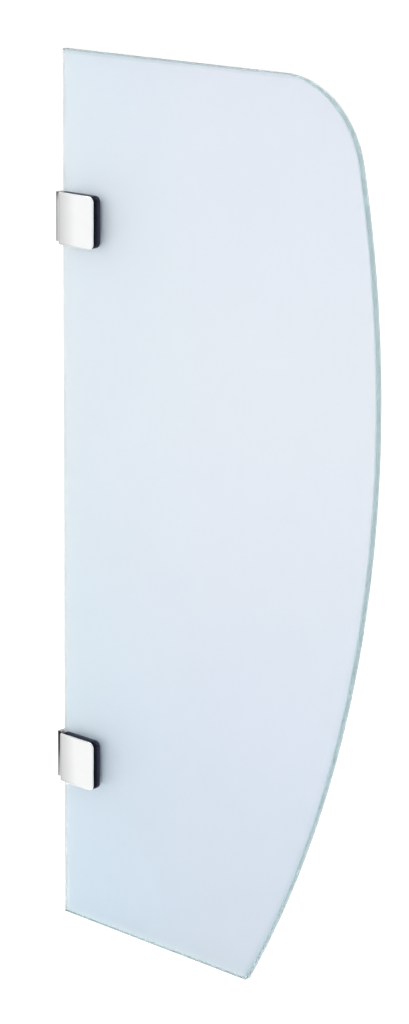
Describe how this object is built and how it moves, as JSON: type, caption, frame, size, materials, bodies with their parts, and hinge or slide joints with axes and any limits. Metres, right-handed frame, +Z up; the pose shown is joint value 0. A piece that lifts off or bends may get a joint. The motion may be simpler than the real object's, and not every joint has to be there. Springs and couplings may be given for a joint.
{
  "type": "glass partition panel",
  "caption": "Wall-hung frosted glass partition with a straight wall edge, a rounded outer side and chrome screw clamps that grip the glass at the wall.",
  "frame": {"origin": "centre of the lower clamp's seat on the wall, level with the middle of the glass", "axes": "+X out from the wall, -Y to the front of the glass, +Z up"},
  "size_m": [0.405, 0.03, 0.9],
  "materials": {
    "frosted_glass": "satin etched faces with polished edges",
    "polished_chrome": "mirror polished",
    "black_coated_zinc": "satin black coat",
    "brushed_steel": "satin",
    "screw_steel": "bright turned",
    "black_rubber": "matt",
    "milky_vinyl": "soft, translucent",
    "clear_plastic": "translucent"
  },
  "bodies": {
    "panel": {"glass_panel": "frosted_glass", "lower_wall_gasket": "black_rubber", "lower_wall_block": "brushed_steel", "lower_notch_liner": "clear_plastic", "lower_rear_pad": "milky_vinyl", "lower_rear_jaw": "polished_chrome", "upper_wall_gasket": "black_rubber", "upper_wall_block": "brushed_steel", "upper_notch_liner": "clear_plastic", "upper_rear_pad": "milky_vinyl", "upper_rear_jaw": "polished_chrome"},
    "lower_jaw": {"lower_front_pad": "black_rubber", "lower_front_jaw": "black_coated_zinc", "lower_front_cover": "polished_chrome"},
    "lower_top_screw": {"lower_clamp_screw_top": "screw_steel"},
    "lower_bottom_screw": {"lower_clamp_screw_bottom": "screw_steel"},
    "upper_jaw": {"upper_front_pad": "black_rubber", "upper_front_jaw": "black_coated_zinc", "upper_front_cover": "polished_chrome"},
    "upper_top_screw": {"upper_clamp_screw_top": "screw_steel"},
    "upper_bottom_screw": {"upper_clamp_screw_bottom": "screw_steel"}
  },
  "joints": [
    {"name": "lower_jaw_slide", "type": "slide", "parent": "panel", "child": "lower_jaw", "axis": [0, -1, 0], "range_m": [0, 0.0024]},
    {"name": "lower_top_screw_turn", "type": "hinge", "parent": "panel", "child": "lower_top_screw", "pos_m": [0.02, 0, 0.007], "axis": [0, 1, 0], "range_deg": [0, 1080]},
    {"name": "lower_bottom_screw_turn", "type": "hinge", "parent": "panel", "child": "lower_bottom_screw", "pos_m": [0.02, 0, -0.007], "axis": [0, 1, 0], "range_deg": [0, 1080]},
    {"name": "upper_jaw_slide", "type": "slide", "parent": "panel", "child": "upper_jaw", "axis": [0, -1, 0], "range_m": [0, 0.0024]},
    {"name": "upper_top_screw_turn", "type": "hinge", "parent": "panel", "child": "upper_top_screw", "pos_m": [0.02, 0, 0.567], "axis": [0, 1, 0], "range_deg": [0, 1080]},
    {"name": "upper_bottom_screw_turn", "type": "hinge", "parent": "panel", "child": "upper_bottom_screw", "pos_m": [0.02, 0, 0.553], "axis": [0, 1, 0], "range_deg": [0, 1080]}
  ],
  "couplings": [
    {"joint": "lower_top_screw_turn", "follows": "lower_jaw_slide", "rad_per_m": 7854},
    {"joint": "lower_bottom_screw_turn", "follows": "lower_jaw_slide", "rad_per_m": 7854},
    {"joint": "upper_top_screw_turn", "follows": "upper_jaw_slide", "rad_per_m": 7854},
    {"joint": "upper_bottom_screw_turn", "follows": "upper_jaw_slide", "rad_per_m": 7854}
  ]
}
